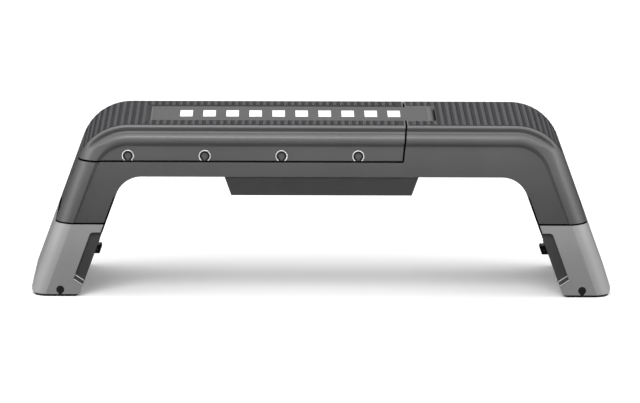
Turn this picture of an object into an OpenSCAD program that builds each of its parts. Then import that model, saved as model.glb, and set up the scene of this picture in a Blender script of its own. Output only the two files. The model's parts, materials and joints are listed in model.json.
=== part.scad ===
// Folding workout deck: an aerobic step whose lid rises as a backrest and whose feet fold in.
// X runs along the deck with the backrest to the left, Y across it, Z up from the floor.

/* [Deck] */
// Height of the top face with the feet out
deck_h = 355.6; // [345:1:375]
// Width over the two side rails
deck_w = 350; // [330:1:380]
// Distance from the middle to the centre of each end curve
curve_x = 398; // [385:1:430]
// Radius of the end curves, over the top face
curve_r = 110.6; // [104:1:116]
// Lean of the legs from the vertical
lean = 20; // [18:0.5:21]
// Thickness of the legs, square to their outer face
leg_t = 98; // [92:1:102]
// Radius of the legs' outer corners
corner_r = 50; // [44:1:52]
// Radius under the deck where it turns into the legs
arch_r = 55; // [40:1:60]
// Thickness of the side walls
wall_t = 4; // [3:0.5:5]
// Thickness from the top face to the inside of the skin
skin_t = 7; // [6:0.5:8]

/* [Side rail] */
// Distance from the rail's outside to the flat wall below it
wall_inset = 9; // [7:0.5:11]
// Radius of the rail's round nose
nose_r = 12; // [10:0.5:13]
// Depth of the nose's centre below the top face
nose_drop = 28; // [26:0.5:30]
// Distance from the rail's outside to the edge lip
lip_inset = 17; // [15:0.5:19]
// Radius of the edge lip
lip_r = 5; // [3:0.5:6]
// Radius of the hollow between the lip and the nose
cove_r = 6; // [4:0.5:6.5]

/* [Backrest lid] */
// Height of the joint between lid and base
seam_z = 282.2; // [282.2:0.4:286.2]
// Place along the deck where the lid ends, at the top face
split_x = 174; // [165:1:180]
// How far the lid's end leans back per unit of depth
split_lean = 0.09; // [0.05:0.01:0.15]
// Width of the tongue that reaches into the seat
tongue_w = 180; // [160:2:190]
// Distance from the lid's end to the hinge
hinge_reach = 49; // [45:1:55]
// Radius of the hinge barrel
barrel_r = 13.6; // [12:0.2:14]
// Radius of the hinge rod
rod_r = 5; // [4:0.5:6]
// Open joint between lid and base
gap = 1.5; // [1.2:0.1:2]
// Number of tube keyholes on each side of the lid
keyhole_count = 4; // [2:1:5]
// Distance between the keyholes
keyhole_pitch = 158; // [120:1:160]
// Place of the first keyhole, from the middle
keyhole_x = -399; // [-400:1:-390]
// Radius of a lid keyhole
keyhole_r = 8.9; // [7:0.1:9.5]
// Width of the way into a lid keyhole
keyhole_neck = 8.8; // [7:0.2:10]

/* [Rubber treads] */
// Thickness of the treads
mat_t = 3.3; // [2.5:0.1:4]
// Distance from the edge lip to the tread
mat_margin = 6; // [4:0.5:8]
// Height at which the treads end on the end curves
mat_end_z = 292; // [290:1:300]
// Smooth border round the lid's joint
mat_border = 5; // [4:0.5:8]
// Thickness of the smooth centre panel
panel_t = 1.4; // [1:0.1:2]
// Length of the smooth centre panel that lies left of the middle
panel_left = 350; // [300:5:360]

/* [Storage tub] */
// Height of the tub's underside
tub_z = 202.5; // [200:0.5:215]
// Distance from the deck's side to the tub
tub_side = 59; // [57:1:75]
// Thickness of the tub's walls
tub_wall = 3; // [2.5:0.5:4]
// Width of the tub's flange
flange_w = 13; // [11:1:14]
// Height of the base's floor panel
floor_z = 258; // [256:0.5:260]
// Thickness of the base's floor panel
floor_t = 3; // [2.5:0.5:4]
// Gap between the tub and a folded foot
tub_gap = 6.3; // [4:0.1:8]

/* [Feet] */
// Height of the joint between leg and foot
joint_z = 152; // [148:1:156]
// Distance from the legs' inner face to the foot shaft
shaft_in = 22.6; // [22.2:0.2:24]
// Distance down the leg from the end curve's centre to the foot shaft
shaft_drop = 33.1; // [31:0.5:34]
// Radius of the foot shaft
shaft_r = 8; // [6:0.5:9]
// Thickness of the foot's walls
foot_wall = 4.5; // [3.5:0.5:5.5]
// Inset of the foot's sides from the rail's outside
foot_inset = 3; // [2:0.5:4]
// Thickness of the rubber sole
sole_t = 4.4; // [3:0.2:5]
// Width of the cut-out along the foot's inner edge
notch_w = 23; // [18:1:25]
// Thickness of the arms that carry the foot
arm_t = 14; // [10:1:16]
// Gap left when the foot is folded under the deck
fold_gap = 1.4; // [1:0.1:3]

/* [Catch] */
// Distance down the leg from the foot's upper edge to the catch
tab_below = 79.12; // [72:0.5:82]
// Length of the catch along the leg
tab_len = 22; // [20:1:24]
// Width of the catch
tab_w = 30; // [24:1:34]
// How far the catch stands out of the foot
tab_reach = 15; // [13.6:0.2:16]
// Travel of the catch
tab_travel = 5; // [3:0.5:6]

/* [Backrest prop] */
// Distance from the hinge to the prop's pivot along the lid
prop_back = 140; // [136:1:142]
// Depth of the prop's pivot below the top face
prop_drop = 36.6; // [36:0.2:37.4]
// Length of the prop from its pivot to its cross bar
prop_len = 220; // [216:1:221]
// Radius of the prop's steel bar
prop_r = 6; // [5:0.5:6]
// Angle of the folded prop below the level
prop_angle = 11; // [10.8:0.1:11.2]
// Distance between the prop's two arms
prop_w = 220; // [200:5:224]

/* [Hidden] */
$fn = 48;

// Cuts run past the faces that they open by this much
over = 1;
// Play between a piece and its seat, and between a shaft and its running bore
seat_gap = 0.3;
run_gap = 0.05;

// Side rail and walls, as distances from the deck's centre line
half_w = deck_w / 2;
wall_y = half_w - wall_inset;
wall_in = wall_y - wall_t;
lip_y = half_w - lip_inset;
nose_y = half_w - nose_r;
cove_drop = nose_drop - nose_r - cove_r;
mat_y = lip_y - mat_margin;
mat_corner = corner_r + 8;
mat_play = 0.3;
mat_bed = 0.1;
skin_y = lip_y - 12;
rail_d = nose_drop + nose_r + 6;
rail_in_d = nose_drop - 6;

// End curves, legs and the foot shaft
curve_z = deck_h - curve_r;
leg_in = curve_r - leg_t;
shaft_off = leg_in + shaft_in;
shaft_x = curve_x + shaft_off * cos(lean) + shaft_drop * sin(lean);
shaft_z = curve_z + shaft_off * sin(lean) - shaft_drop * cos(lean);
under_z = shaft_z + shaft_in + fold_gap;
joint_drop = (shaft_z - joint_z) / cos(lean);
tab_drop = joint_drop + tab_below;
arm_drop = joint_drop + 21.32;
outer_off = leg_t - shaft_in;
leg_reach = deck_h / cos(lean) + 20;
leg_slim = 0.03;
leg_overlap = 1;
leg_fill_in = 0.1;
leg_fill_sink = 8;
leg_fill_y = half_w - 2.1;
leg_fill_d = 20;
leg_sweep = (curve_z + curve_r * sin(lean) - joint_z) / cos(lean) + leg_t;

// Lid
hinge_x = split_x + hinge_reach;
hinge_z = deck_h - 1 - barrel_r;
tongue_y = tongue_w / 2;
tongue_top = hinge_z + barrel_r;
cover_t = 3;
cover_z = deck_h - skin_t - 18.4;
cover_y = wall_in - 6;
cover_left = curve_x - 18;
cover_right = split_x - 14;
tube_r = 6.9;
tube_z = (cover_z + cover_t + deck_h - skin_t) / 2;
tube_y = 66;
tube_left = cover_left - 30;
tube_right = cover_right - 8;
boss_r = 7;
screw_r = 2;
screw_head_r = 4;
screw_head_h = 2.4;
cover_screw_x = [-350, -175, 0, 120];
cover_screw_y = cover_y - 14;
upstand_t = 4;
upstand_h = 48;
upstand_y = wall_in - 12;
upstand_left = curve_x + 27;
upstand_right = split_x - 36;
keyhole_z = seam_z + 11.5;
seat_walls = [split_x + 4, 300, 360];
seat_wall_t = 3;
hinge_boss = 22;
rod_half = tongue_y + gap + hinge_boss - 3;
hold_drop = 43.4;
hold_y = 62;
hold_r = 21;
recess_d = 3;
recess_y = half_w - corner_r - 14;
recess_top = -40;

// Storage tub
floor_top = floor_z + floor_t;
floor_left = leg_x(leg_in, floor_z) - 24;
tub_y = half_w - tub_side;
tub_end_x = shaft_x - (shaft_z + tub_gap) / cos(lean);
tub_rim_x = tub_end_x + (floor_top - shaft_z) * tan(lean);
buffer_r = 9;
buffer_h = 4;
buffer_x = [-300, 95];
buffer_y = wall_in - 23;

// Foot
foot_y = half_w - foot_inset;
foot_in_y = foot_y - foot_wall;
foot_top = joint_z - 0.4;
foot_plate = 4.5;
boss_len = 12;
bush_flange = 1.5;
arm_y = wall_in - boss_len - bush_flange - seat_gap - arm_t;
eye_r = 20;
bush_t = 3;
bush_r = shaft_r + bush_t;
notch_top = 134;
notch_ledge = 36;
notch_low = 24;
notch_r = 8;
ledge_h = 9;
ledge_d = 2;
toe_r = 14;
heel_r = 16;

// Catch and its keeper
tab_hook = 2.5;
tab_hook_p = 9.7;
keeper_t = 2;
keeper_w = 16;
keeper_z = shaft_z + shaft_in + tab_hook_p - seat_gap - keeper_t;
keeper_x = shaft_x - tab_drop + tab_len / 2 + seat_gap + 0.1;
spring_r = 4;
spring_wire = 0.7;
spring_turns = 6;
spring_len = 18;
spring_seat = -tab_drop - tab_len / 2 - 2 - seat_gap - spring_len;

// Prop
prop_x = hinge_x - prop_back;
prop_z = deck_h - prop_drop;
prop_y = prop_w / 2;
prop_bar_x = prop_x - prop_len * cos(prop_angle);
prop_bar_z = prop_z - prop_len * sin(prop_angle);
prop_eye_r = 8.6;
prop_eye_w = 14;
pin_r = 5;
ear_t = 4;
rack_w = 17;
rack_y = tub_y + flange_w + 2;
bar_y = upstand_y - 1.5;
rack_top = prop_bar_z - prop_r - 1.8;
rack_notches = [-75, -20, 16, 42];

// Place along the deck of a line that runs down the leg at a given offset, at height z
function leg_x(off, z) = curve_x + (off - (z - curve_z) * sin(lean)) / cos(lean);

// Place of the lid's end at height z
function lid_end(z) = split_x - (deck_h - z) * split_lean;

// Points of an arc
function arc(cx, cy, r, a0, a1, n) =
    [for (i = [0:n]) let (a = a0 + (a1 - a0) * i / n) [cx + r * cos(a), cy + r * sin(a)]];

// Points with their first coordinate turned round, in reverse order
function mirrored(pts) = [for (i = [len(pts) - 1:-1:0]) [-pts[i][0], pts[i][1]]];

// Right half of the rail's section down to the given depth, drawn slimmer by g
function rail_half(depth, g) = concat(
    arc(lip_y - lip_r, -lip_r, lip_r - g, 90, 0, 5),
    arc(lip_y + cove_r, -cove_drop, cove_r + g, 180, 270, 5),
    arc(nose_y, -nose_drop, nose_r - g, 80, -60, 12),
    [[wall_y - g, -nose_drop - nose_r - 2], [wall_y - g, -depth]]
);

// Outline of the arch at an offset inside its outer face, down to height z
function arch_half(off, z) = concat(
    arc(curve_x, curve_z, curve_r - off, 90, lean, 14),
    [[leg_x(curve_r - off, z), z]]
);

// Underside of the arch, from the leg's foot end to the middle
arch_cx = curve_x + (leg_in - arch_r - (under_z - arch_r - curve_z) * sin(lean)) / cos(lean);
function arch_under(z) = concat(
    [[leg_x(leg_in, z), z]],
    arc(arch_cx, under_z - arch_r, arch_r, lean, 90, 12)
);

// Places a piece in the frame of the right leg: origin at the foot shaft, X out of the leg
module in_leg() {
    translate([shaft_x, 0, shaft_z]) rotate([0, -lean, 0]) children();
}

// Draws a flat outline of the XZ plane between two places across the deck
module across_deck(y0, y1) {
    translate([0, y1, 0]) rotate([90, 0, 0]) linear_extrude(y1 - y0) children();
}

// Repeats its children on both sides of the centre line
module both_sides() {
    children();
    mirror([0, 1, 0]) children();
}

// Sweeps a section along the top and round one end curve
module sweep_half() {
    translate([0, 0, deck_h]) rotate([90, 0, 90]) linear_extrude(curve_x) children();
    translate([curve_x, 0, curve_z]) rotate([90, 0, 0])
        rotate_extrude(angle = 90 - lean, start = lean, $fn = 96)
            translate([curve_r, 0]) rotate(-90) children();
}

// Sweeps a section along the whole deck and round both end curves
module sweep_deck() {
    sweep_half() children();
    mirror([1, 0, 0]) sweep_half() children();
}

// Runs a section down both legs; it starts inside the end curves
module sweep_legs(length) {
    for (m = [0, 1]) mirror([m, 0, 0])
        translate([curve_x, 0, curve_z]) rotate([0, 90 - lean, 0]) translate([-leg_overlap, 0, curve_r])
            rotate([90, 0, 90]) linear_extrude(length + leg_overlap) children();
}

// Prism along one leg whose outer corners are round; it reaches far past the other end
module leg_prism(edge, face, r) {
    in_leg() translate([0, 0, -leg_reach]) linear_extrude(3 * leg_reach)
        polygon(concat([[-4 * curve_x, -edge]], arc(face - r, r - edge, r, -90, 0, 12),
            arc(face - r, edge - r, r, 0, 90, 12), [[-4 * curve_x, edge]]));
}

// Keeps what lies inside the round corners of both legs
module round_corners(edge, face, r) {
    intersection() {
        children();
        leg_prism(edge, face, r);
        mirror([1, 0, 0]) leg_prism(edge, face, r);
    }
}

// Half section that fills the rail's hollow on the legs, drawn slimmer by g
function fill_half(g) = [[lip_y - lip_r, -g], [leg_fill_y, -leg_fill_d - g], [lip_y - 8, -nose_drop - g]];

// Makes the legs' columns smooth; round the end curves the fill sinks below the rail
module leg_fill(length) {
    ring = fill_half(leg_fill_in);
    run = fill_half(leg_fill_in + leg_slim);
    for (m = [0, 1]) mirror([m, 0, 0])
        translate([curve_x + leg_fill_sink * sin(lean), 0, curve_z - leg_fill_sink * cos(lean)]) {
            rotate([90, 0, 0]) rotate_extrude(angle = 90 - lean, start = lean, $fn = 96)
                translate([curve_r, 0]) rotate(-90) polygon(concat(ring, mirrored(ring)));
            rotate([0, 90 - lean, 0]) translate([-leg_overlap, 0, curve_r]) rotate([90, 0, 90])
                linear_extrude(length + leg_overlap) polygon(concat(run, mirrored(run)));
        }
}

// The leg's side walls swell out to meet the foot
module leg_flares() {
    flare = wall_inset - foot_inset;
    length = (curve_z - joint_z) / cos(lean) + leg_t;
    start_y = wall_y - 4 * leg_slim;
    for (m = [0, 1]) mirror([m, 0, 0])
        translate([curve_x, 0, curve_z]) rotate([0, -lean, 0]) translate([leg_in, 0, 0])
            rotate([0, 90, 0]) linear_extrude(leg_t - nose_drop)
                polygon([[-leg_overlap, start_y], [length, wall_y + flare],
                    [length, -wall_y - flare], [-leg_overlap, -start_y]]);
}

// The whole deck moulding with its legs, before it is parted into lid and base
module deck_solid() {
    half = rail_half(rail_d, 0);
    slim = rail_half(rail_d - leg_slim, leg_slim);
    side = arch_half(nose_drop, -over);
    round_corners(half_w, outer_off + leg_slim, corner_r) {
        union() {
            sweep_deck() polygon(concat(half, mirrored(half)));
            sweep_legs(leg_sweep) polygon(concat(slim, mirrored(slim)));
            across_deck(-wall_y, wall_y)
                polygon(concat(side, arch_under(-over), mirrored(arch_under(-over)), mirrored(side)));
            leg_flares();
            leg_fill(leg_sweep);
        }
    }
}

// The hollow inside the deck moulding, open below
module deck_hollow() {
    across_deck(-skin_y, skin_y)
        polygon(concat(arch_half(skin_t, -2 * over), mirrored(arch_half(skin_t, -2 * over))));
    across_deck(-wall_in, wall_in)
        polygon(concat(arch_half(rail_in_d, -2 * over), mirrored(arch_half(rail_in_d, -2 * over))));
}

// The treads on the whole top, or their sunk bed with some play at the edges
module tread(depth, play) {
    intersection() {
        round_corners(mat_y + play, outer_off + 12, mat_corner)
            sweep_deck()
                translate([-half_w, -depth]) square([deck_w, depth + play]);
        translate([-2 * curve_x, -half_w, mat_end_z - play]) cube([4 * curve_x, deck_w, deck_h]);
    }
}

// The part of the top that the lid's tread covers, grown by g
module lid_tread_space(g) {
    difference() {
        translate([-2 * curve_x, -half_w, 0])
            cube([2 * curve_x + split_x - mat_border + g, deck_w, 2 * deck_h]);
        translate([-panel_left - mat_border + g, g - tongue_y, 0])
            cube([2 * curve_x, tongue_w - 2 * g, 3 * deck_h]);
    }
}

// The part of the top that the seat's tread covers, grown by g
module seat_tread_space(g) {
    edge = tongue_y + gap + mat_border - g;
    difference() {
        translate([split_x + mat_border - g, -half_w, 0]) cube([2 * curve_x, deck_w, 2 * deck_h]);
        translate([0, -edge, 0])
            cube([hinge_x + barrel_r + gap + mat_border - g, 2 * edge, 3 * deck_h]);
    }
}

// The space above the lid's joint and left of its end, moved by g into the base
module lid_space(g) {
    top = deck_h + 20;
    across_deck(-half_w - over, half_w + over)
        polygon([[-2 * curve_x, seam_z - g], [lid_end(seam_z) + g, seam_z - g],
            [lid_end(top) + g, top], [-2 * curve_x, top]]);
}

// A keyhole that is open downward, cut right across the deck
module keyhole(x, z, r, neck) {
    across_deck(-half_w - over, half_w + over) {
        translate([x, z]) circle(r = r);
        translate([x - neck / 2, z - 3 * r]) square([neck, 3 * r]);
    }
}

// Round-ended hand-hold through the right leg's outer skin
module hand_hold() {
    in_leg() translate([outer_off - skin_t - over, 0, -hold_drop]) rotate([0, 90, 0]) {
        both_sides() translate([0, hold_y - hold_r, 0]) cylinder(h = skin_t + 2 * over, r = hold_r);
        translate([-hold_r, hold_r - hold_y, 0])
            cube([2 * hold_r, 2 * (hold_y - hold_r), skin_t + 2 * over]);
    }
}

// Shallow recess in the right leg's outer face between its two columns
module leg_recess() {
    in_leg() translate([outer_off - recess_d, -recess_y, -leg_reach])
        cube([2 * recess_d, 2 * recess_y, leg_reach - recess_top]);
}

// Trapezium of the tub seen from the front, its ends parallel to the soles of the folded feet
module tub_outline(inset, top) {
    low = tub_z + inset;
    x_low = tub_end_x + (low - shaft_z) * tan(lean) - inset / cos(lean);
    x_top = tub_end_x + (top - shaft_z) * tan(lean) - inset / cos(lean);
    polygon([[-x_low, low], [x_low, low], [x_top, top], [-x_top, top]]);
}

// Places of the screws that hold the tub's flange to the floor panel
function tub_screw_xy() = [for (x = [-1, -0.33, 0.33, 1], y = [-1, 1])
    [x * (tub_rim_x - 24), y * (tub_y + flange_w / 2 + 1)]];

// Floor panel between the skirts, with its upstands, posts and the walls under the seat
module base_floor() {
    translate([-floor_left, -wall_in - over, floor_z])
        cube([2 * floor_left, 2 * (wall_in + over), floor_t]);
    both_sides() translate([-upstand_left, upstand_y, floor_z])
        cube([upstand_left + upstand_right, upstand_t, upstand_h]);
    for (x = buffer_x) both_sides() translate([x, buffer_y, floor_z])
        cylinder(h = cover_z - seat_gap - buffer_h - floor_z, r = buffer_r);
    for (p = tub_screw_xy()) translate([p[0], p[1], floor_z - 7])
        cylinder(h = 8, r = screw_head_r + 1);
    for (x = seat_walls) {
        low = x < tub_rim_x + flange_w + over ? floor_top + tub_wall + screw_head_h + over : floor_z;
        translate([x, -wall_in - over, low])
            cube([seat_wall_t, 2 * (wall_in + over), deck_h - rail_in_d + over - low]);
        translate([x, -skin_y - over, low])
            cube([seat_wall_t, 2 * (skin_y + over), deck_h - skin_t + over - low]);
    }
}

// Cradle under the tongue, with the bosses that hold the hinge rod
module hinge_cradle() {
    low = hinge_z - barrel_r - gap - seat_wall_t;
    high = deck_h - skin_t + over;
    width = tongue_w + 2 * (gap + hinge_boss);
    right = hinge_x + barrel_r + gap;
    translate([seat_walls[0], -width / 2, low])
        cube([right + seat_wall_t - seat_walls[0], width, seat_wall_t]);
    translate([right, -width / 2, low]) cube([seat_wall_t, width, high - low]);
    both_sides() translate([hinge_x - barrel_r, tongue_y + gap, low])
        cube([2 * barrel_r, hinge_boss, high - low]);
}

// Bosses inside the legs that hold the foot shafts
module shaft_bosses() {
    for (m = [0, 1]) mirror([m, 0, 0]) both_sides()
        translate([shaft_x, wall_in + over, shaft_z]) rotate([90, 0, 0])
            cylinder(h = boss_len + over, r = shaft_r + 6);
}

// The keepers that the catches hook behind when the feet are folded
module keepers() {
    width = tab_w + 8;
    for (m = [0, 1]) mirror([m, 0, 0]) {
        translate([keeper_x, -width / 2, keeper_z]) cube([keeper_w, width, keeper_t]);
        translate([keeper_x + 5, -width / 2, keeper_z])
            cube([keeper_w - 5, width, floor_z + over - keeper_z]);
    }
}

// Openings in the floor panel for the catches
module tab_slots() {
    length = tab_len + tab_travel + 8;
    for (m = [0, 1]) mirror([m, 0, 0])
        translate([keeper_x + 5 - length, -tab_w / 2 - 2, floor_z - over])
            cube([length, tab_w + 4, floor_t + 2 * over]);
}

// Room in the seat section for the tongue and its barrel
module tongue_room() {
    across_deck(-tongue_y - gap, tongue_y + gap) {
        translate([hinge_x, hinge_z]) circle(r = barrel_r + gap);
        translate([0, hinge_z - barrel_r - gap]) square([hinge_x, 3 * barrel_r + deck_h - hinge_z]);
        translate([0, hinge_z]) square([hinge_x + barrel_r + gap, 3 * barrel_r]);
    }
}

// Bores that run across the base: hinge rod and foot shafts
module base_bores() {
    translate([hinge_x, 0, hinge_z]) rotate([90, 0, 0])
        cylinder(h = 2 * rod_half, r = rod_r, center = true);
    for (m = [0, 1]) mirror([m, 0, 0]) translate([shaft_x, 0, shaft_z]) rotate([90, 0, 0])
        cylinder(h = 2 * wall_in, r = shaft_r, center = true);
    for (p = tub_screw_xy()) translate([p[0], p[1], floor_z - 6])
        cylinder(h = 12, r = screw_r + run_gap);
}

// Fixed moulding: seat section, skirts and upper legs
module base_shell() {
    color([0.36, 0.36, 0.37]) difference() {
        union() {
            difference() {
                deck_solid();
                deck_hollow();
                lid_space(gap / 2);
                intersection() {
                    tread(mat_t + mat_bed, mat_play);
                    seat_tread_space(mat_play);
                }
                for (m = [0, 1]) mirror([m, 0, 0]) {
                    hand_hold();
                    leg_recess();
                }
                translate([-2 * curve_x, -half_w - over, -leg_t])
                    cube([4 * curve_x, deck_w + 2 * over, joint_z + leg_t]);
            }
            difference() {
                base_floor();
                tab_slots();
            }
            hinge_cradle();
            shaft_bosses();
            keepers();
        }
        tongue_room();
        base_bores();
        across_deck(-tub_y - seat_gap, tub_y + seat_gap) tub_outline(-seat_gap, floor_top + 5);
    }
}

// Rubber tread of the seat section, wrapped over the right end
module seat_mat() {
    color([0.22, 0.22, 0.23]) intersection() {
        tread(mat_t, 0);
        seat_tread_space(0);
    }
}

// Tray under the deck, hung by its flange from the floor panel
module storage_tub() {
    color([0.27, 0.27, 0.28]) difference() {
        union() {
            across_deck(-tub_y, tub_y) tub_outline(0, floor_top + tub_wall);
            translate([-tub_rim_x - flange_w, -tub_y - flange_w, floor_top])
                cube([2 * (tub_rim_x + flange_w), 2 * (tub_y + flange_w), tub_wall]);
        }
        across_deck(-tub_y + tub_wall, tub_y - tub_wall) tub_outline(tub_wall, floor_top + 2 * tub_wall);
        for (p = tub_screw_xy()) translate([p[0], p[1], floor_top - over])
            cylinder(h = tub_wall + 2 * over, r = screw_r + run_gap);
    }
}

// A pan-head screw, its head above the origin and its shank below
module screw(length) {
    cylinder(h = screw_head_h, r1 = screw_head_r, r2 = screw_head_r * 0.7);
    translate([0, 0, -length]) cylinder(h = length, r = screw_r);
}

// Screws through the tub's flange
module tub_screws() {
    color([0.6, 0.6, 0.62]) for (p = tub_screw_xy())
        translate([p[0], p[1], floor_top + tub_wall]) screw(tub_wall + floor_t + 5);
}

// Notched rack on the floor panel that the prop's cross bar steps into
module support_rack() {
    right = rack_notches[len(rack_notches) - 1] + 14;
    left = rack_notches[0] - 14;
    color([0.27, 0.27, 0.28]) translate([0, rack_w / 2, 0]) across_deck(-rack_w / 2, rack_w / 2)
        difference() {
            polygon([[left, floor_top], [right, floor_top], [right - 5, rack_top], [left + 5, rack_top]]);
            for (x = rack_notches) translate([x, rack_top + 1.5]) circle(r = prop_r + 1);
        }
}

module support_rack_front() {
    translate([0, -rack_y - rack_w, 0]) support_rack();
}

module support_rack_rear() {
    translate([0, rack_y, 0]) support_rack();
}

// Steel rod of the backrest hinge
module hinge_rod() {
    color([0.7, 0.7, 0.72]) translate([hinge_x, 0, hinge_z]) rotate([90, 0, 0])
        cylinder(h = 2 * rod_half - 1, r = rod_r, center = true);
}

// Rubber buffers that carry the closed lid
module lid_buffers() {
    color([0.12, 0.12, 0.12]) for (x = buffer_x) both_sides()
        translate([x, buffer_y, cover_z - seat_gap - buffer_h])
            cylinder(h = buffer_h, r1 = buffer_r, r2 = buffer_r - 1.5);
}

// Steel shaft that a foot folds about
module foot_shaft() {
    color([0.7, 0.7, 0.72]) translate([shaft_x, 0, shaft_z]) rotate([90, 0, 0])
        cylinder(h = 2 * (wall_in - seat_gap), r = shaft_r, center = true);
}

module foot_shaft_left() {
    mirror([1, 0, 0]) foot_shaft();
}

module foot_shaft_right() {
    foot_shaft();
}

// Narrow end of the lid, with the barrel that turns on the hinge rod
module tongue() {
    left = cover_right + 2;
    low = hinge_z - barrel_r;
    difference() {
        across_deck(-tongue_y, tongue_y) {
            translate([hinge_x, hinge_z]) circle(r = barrel_r);
            translate([left, low]) square([hinge_x - left, 2 * barrel_r]);
        }
        translate([left + wall_t, -tongue_y + wall_t, low - over])
            cube([hinge_x - barrel_r - left - 2 * wall_t, tongue_w - 2 * wall_t,
                2 * barrel_r - wall_t + over]);
        translate([hinge_x, 0, hinge_z]) rotate([90, 0, 0])
            cylinder(h = deck_w, r = rod_r + run_gap, center = true);
    }
}

// Bosses under the lid's skin for the screws of the cover
module lid_bosses() {
    for (x = cover_screw_x) both_sides() translate([x, cover_screw_y, cover_z + cover_t])
        cylinder(h = deck_h - skin_t + over - cover_z - cover_t, r = boss_r);
}

// Raised rims round the keyholes of the right-hand or left-hand skirt
module keyhole_rims() {
    rim_t = 1;
    both_sides() for (i = [0:keyhole_count - 1])
        across_deck(wall_y - 2, wall_y + rim_t) intersection() {
            translate([keyhole_x + i * keyhole_pitch, keyhole_z]) circle(r = keyhole_r + 4.2);
            translate([-2 * curve_x, seam_z + gap / 2]) square([4 * curve_x, 60]);
        }
}

// Long lid of the deck, which rises as the backrest
module backrest_shell() {
    color([0.38, 0.38, 0.39]) difference() {
        union() {
            intersection() {
                difference() {
                    deck_solid();
                    deck_hollow();
                    intersection() {
                        tread(mat_t + mat_bed, mat_play);
                        lid_tread_space(mat_play);
                    }
                    translate([-panel_left - mat_border, -tongue_y, tongue_top])
                        cube([2 * curve_x, tongue_w, 60]);
                }
                lid_space(-gap / 2);
            }
            tongue();
            lid_bosses();
            keyhole_rims();
            both_sides() translate([split_x - 8.5, tongue_y - over, seam_z + 1])
                cube([3, cover_y - tongue_y, deck_h - skin_t + over - seam_z - 1]);
        }
        for (i = [0:keyhole_count - 1])
            keyhole(keyhole_x + i * keyhole_pitch, keyhole_z, keyhole_r, keyhole_neck);
        translate([-panel_left, -tongue_y + mat_border, tongue_top - panel_t])
            cube([panel_left + hinge_x - 3, tongue_w - 2 * mat_border, 60]);
        for (x = cover_screw_x) both_sides() translate([x, cover_screw_y, cover_z])
            cylinder(h = 15, r = screw_r + run_gap);
    }
}

// Rubber tread of the lid, wrapped over the left end
module backrest_mat() {
    color([0.22, 0.22, 0.23]) intersection() {
        tread(mat_t, 0);
        lid_tread_space(0);
    }
}

// Smooth strip let into the middle of the lid
module centre_panel() {
    color([0.3, 0.3, 0.31])
        translate([mat_play - panel_left, mat_play - tongue_y + mat_border, tongue_top - panel_t])
            cube([panel_left + hinge_x - 3 - 2 * mat_play,
                tongue_w - 2 * (mat_border + mat_play), panel_t]);
}

// Panel that closes the lid from below
module backrest_cover() {
    color([0.27, 0.27, 0.28]) difference() {
        translate([-cover_left, -cover_y, cover_z])
            cube([cover_left + cover_right, 2 * cover_y, cover_t]);
        for (x = cover_screw_x) both_sides() translate([x, cover_screw_y, cover_z - over])
            cylinder(h = cover_t + 2 * over, r = screw_r + run_gap);
    }
}

// Screws of the cover
module cover_screws() {
    color([0.6, 0.6, 0.62]) for (x = cover_screw_x) both_sides()
        translate([x, cover_screw_y, cover_z]) rotate([180, 0, 0]) screw(14);
}

// Steel tubes that stiffen the lid
module stiffener_tubes() {
    color([0.55, 0.55, 0.57]) both_sides()
        translate([-tube_left, tube_y, tube_z]) rotate([0, 90, 0]) difference() {
            cylinder(h = tube_left + tube_right, r = tube_r);
            translate([0, 0, -over])
                cylinder(h = tube_left + tube_right + 2 * over, r = tube_r - 1.5);
        }
}

// Brackets under the cover that carry the prop
module prop_brackets() {
    ear_y = prop_eye_w / 2 + 0.5;
    plate_t = 2.4;
    color([0.45, 0.45, 0.47]) both_sides() difference() {
        union() {
            translate([prop_x - 20, prop_y - ear_y - ear_t, cover_z - plate_t])
                cube([40, 2 * (ear_y + ear_t), plate_t]);
            for (s = [-1, 1]) translate([0, prop_y + s * (ear_y + ear_t / 2), 0])
                across_deck(-ear_t / 2, ear_t / 2) {
                    translate([prop_x, prop_z]) circle(r = prop_eye_r);
                    translate([prop_x - prop_eye_r, prop_z])
                        square([2 * prop_eye_r, cover_z - prop_z - plate_t / 2]);
                }
        }
        translate([prop_x, 0, prop_z]) rotate([90, 0, 0])
            cylinder(h = deck_w, r = pin_r, center = true);
    }
}

// Headed pins of the prop
module prop_pins() {
    inner = prop_y - prop_eye_w / 2 - ear_t - 0.5;
    outer = prop_y + prop_eye_w / 2 + ear_t + 0.5;
    color([0.7, 0.7, 0.72]) both_sides() translate([prop_x, 0, prop_z]) rotate([-90, 0, 0]) {
        translate([0, 0, inner - 1]) cylinder(h = outer - inner + 2, r = pin_r);
        translate([0, 0, outer]) cylinder(h = 2.5, r = pin_r + 2.5);
    }
}

// Steel frame that props the backrest: two arms and a cross bar
module prop_frame() {
    color([0.45, 0.45, 0.47]) difference() {
        union() {
            both_sides() {
                translate([prop_x, prop_y + prop_eye_w / 2, prop_z]) rotate([90, 0, 0])
                    cylinder(h = prop_eye_w, r = prop_eye_r);
                translate([prop_x, prop_y, prop_z]) rotate([0, -90 - prop_angle, 0])
                    cylinder(h = prop_len, r = prop_r);
            }
            translate([prop_bar_x, 0, prop_bar_z]) rotate([90, 0, 0])
                cylinder(h = 2 * bar_y, r = prop_r, center = true);
        }
        translate([prop_x, 0, prop_z]) rotate([90, 0, 0])
            cylinder(h = deck_w, r = pin_r + run_gap, center = true);
    }
}

// Plastic sleeve on the cross bar
module prop_sleeve() {
    length = prop_w - 4 * prop_r;
    color([0.12, 0.12, 0.12]) translate([prop_bar_x, 0, prop_bar_z]) rotate([90, 0, 0])
        difference() {
            cylinder(h = length, r = prop_r + 2, center = true);
            cylinder(h = length + 2 * over, r = prop_r + run_gap, center = true);
        }
}

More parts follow.
